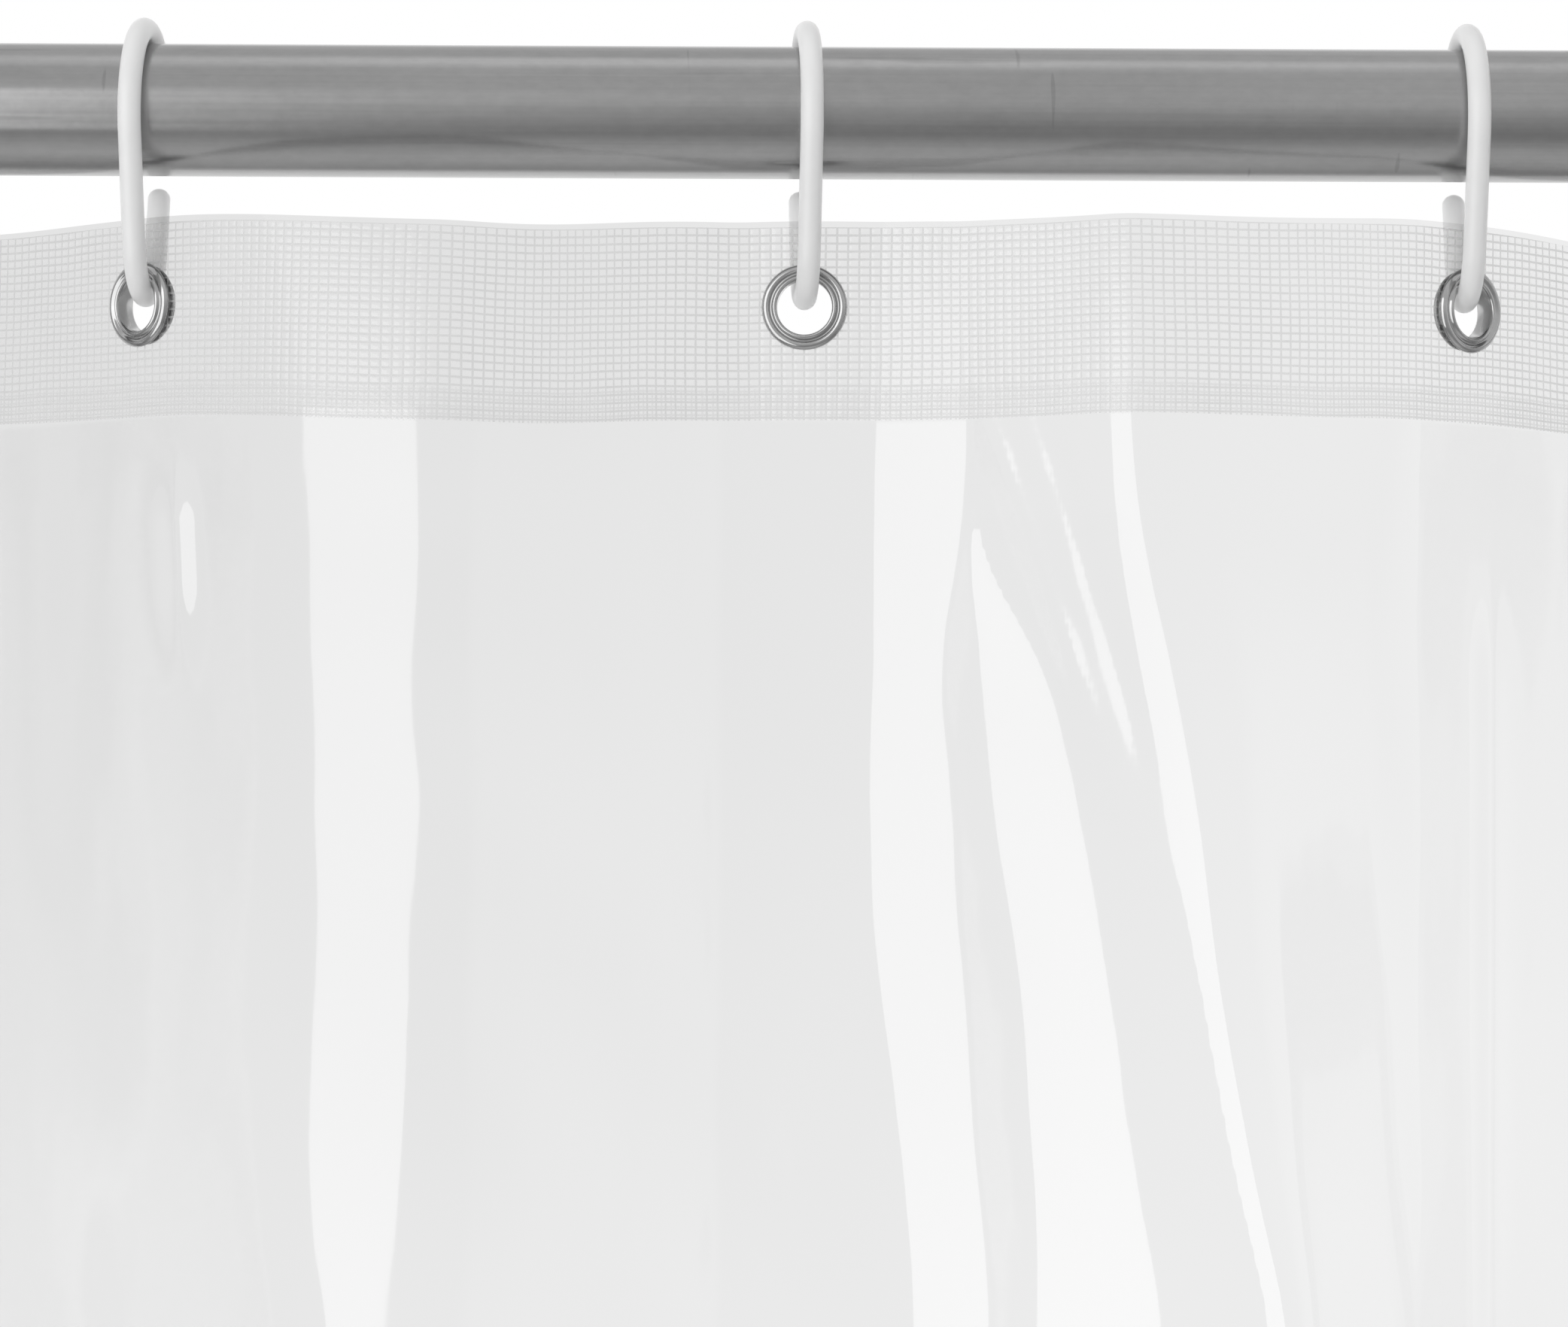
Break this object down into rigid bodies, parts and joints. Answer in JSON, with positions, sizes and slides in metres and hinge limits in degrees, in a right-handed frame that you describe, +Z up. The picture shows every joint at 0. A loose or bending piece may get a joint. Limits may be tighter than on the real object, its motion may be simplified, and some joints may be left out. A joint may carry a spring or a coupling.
{
  "type": "shower curtain",
  "caption": "Clear vinyl shower curtain with a mesh-reinforced header and metal eyelets, hung on a wall-to-wall steel rod by open C-shaped plastic rings.",
  "frame": {"origin": "middle of the left wall flange's back face, on the rod's axis", "axes": "+X along the rod to the right wall, -Y to the room side that is pictured, +Z up"},
  "size_m": [1.524, 0.0893, 1.8816],
  "materials": {
    "steel": "satin, plain stainless tube",
    "flange": "satin chrome",
    "ring": "glossy white moulding",
    "nickel": "bright nickel plate",
    "film": "clear, high gloss",
    "mesh": "clear film laminated over a white woven mesh",
    "magnet": "matt dark ferrite"
  },
  "bodies": {
    "rod": {"rod_tube": "steel", "left_flange": "flange", "right_flange": "flange", "left_grub_screw": "steel", "right_grub_screw": "steel"},
    "cloth_and_ring_01": {"vinyl_sheet": "film", "mesh_header": "mesh", "ring_01": "ring", "eyelet_01": "nickel", "washer_01": "nickel", "magnet_1": "magnet", "magnet_pocket_1": "film"},
    "ring_02_body": {"ring_02": "ring", "eyelet_02": "nickel", "washer_02": "nickel"},
    "ring_03_body": {"ring_03": "ring", "eyelet_03": "nickel", "washer_03": "nickel"},
    "ring_04_body": {"ring_04": "ring", "eyelet_04": "nickel", "washer_04": "nickel"},
    "ring_05_body": {"ring_05": "ring", "eyelet_05": "nickel", "washer_05": "nickel", "magnet_2": "magnet", "magnet_pocket_2": "film"},
    "ring_06_body": {"ring_06": "ring", "eyelet_06": "nickel", "washer_06": "nickel"},
    "ring_07_body": {"ring_07": "ring", "eyelet_07": "nickel", "washer_07": "nickel"},
    "ring_08_body": {"ring_08": "ring", "eyelet_08": "nickel", "washer_08": "nickel", "magnet_3": "magnet", "magnet_pocket_3": "film"},
    "ring_09_body": {"ring_09": "ring", "eyelet_09": "nickel", "washer_09": "nickel"},
    "ring_10_body": {"ring_10": "ring", "eyelet_10": "nickel", "washer_10": "nickel"},
    "ring_11_body": {"ring_11": "ring", "eyelet_11": "nickel", "washer_11": "nickel"},
    "ring_12_body": {"ring_12": "ring", "eyelet_12": "nickel", "washer_12": "nickel", "magnet_4": "magnet", "magnet_pocket_4": "film"}
  },
  "joints": [
    {"name": "swing", "type": "hinge", "parent": "rod", "child": "cloth_and_ring_01", "pos_m": [0, 0, 0], "axis": [1, 0, 0], "range_deg": [-18, 18]},
    {"name": "draw", "type": "slide", "parent": "cloth_and_ring_01", "child": "ring_02_body", "axis": [1, 0, 0], "range_m": [-0.066, 0], "deforming": ["vinyl_sheet", "mesh_header"]},
    {"name": "draw_03", "type": "slide", "parent": "ring_02_body", "child": "ring_03_body", "axis": [1, 0, 0], "range_m": [-0.066, 0]},
    {"name": "draw_04", "type": "slide", "parent": "ring_03_body", "child": "ring_04_body", "axis": [1, 0, 0], "range_m": [-0.066, 0]},
    {"name": "draw_05", "type": "slide", "parent": "ring_04_body", "child": "ring_05_body", "axis": [1, 0, 0], "range_m": [-0.066, 0]},
    {"name": "draw_06", "type": "slide", "parent": "ring_05_body", "child": "ring_06_body", "axis": [1, 0, 0], "range_m": [-0.066, 0]},
    {"name": "draw_07", "type": "slide", "parent": "ring_06_body", "child": "ring_07_body", "axis": [1, 0, 0], "range_m": [-0.066, 0]},
    {"name": "draw_08", "type": "slide", "parent": "ring_07_body", "child": "ring_08_body", "axis": [1, 0, 0], "range_m": [-0.066, 0]},
    {"name": "draw_09", "type": "slide", "parent": "ring_08_body", "child": "ring_09_body", "axis": [1, 0, 0], "range_m": [-0.066, 0]},
    {"name": "draw_10", "type": "slide", "parent": "ring_09_body", "child": "ring_10_body", "axis": [1, 0, 0], "range_m": [-0.066, 0]},
    {"name": "draw_11", "type": "slide", "parent": "ring_10_body", "child": "ring_11_body", "axis": [1, 0, 0], "range_m": [-0.066, 0]},
    {"name": "draw_12", "type": "slide", "parent": "ring_11_body", "child": "ring_12_body", "axis": [1, 0, 0], "range_m": [-0.066, 0]}
  ],
  "couplings": [
    {"joint": "draw_03", "follows": "draw", "ratio": 1},
    {"joint": "draw_04", "follows": "draw", "ratio": 1},
    {"joint": "draw_05", "follows": "draw", "ratio": 1},
    {"joint": "draw_06", "follows": "draw", "ratio": 1},
    {"joint": "draw_07", "follows": "draw", "ratio": 1},
    {"joint": "draw_08", "follows": "draw", "ratio": 1},
    {"joint": "draw_09", "follows": "draw", "ratio": 1},
    {"joint": "draw_10", "follows": "draw", "ratio": 1},
    {"joint": "draw_11", "follows": "draw", "ratio": 1},
    {"joint": "draw_12", "follows": "draw", "ratio": 1}
  ]
}
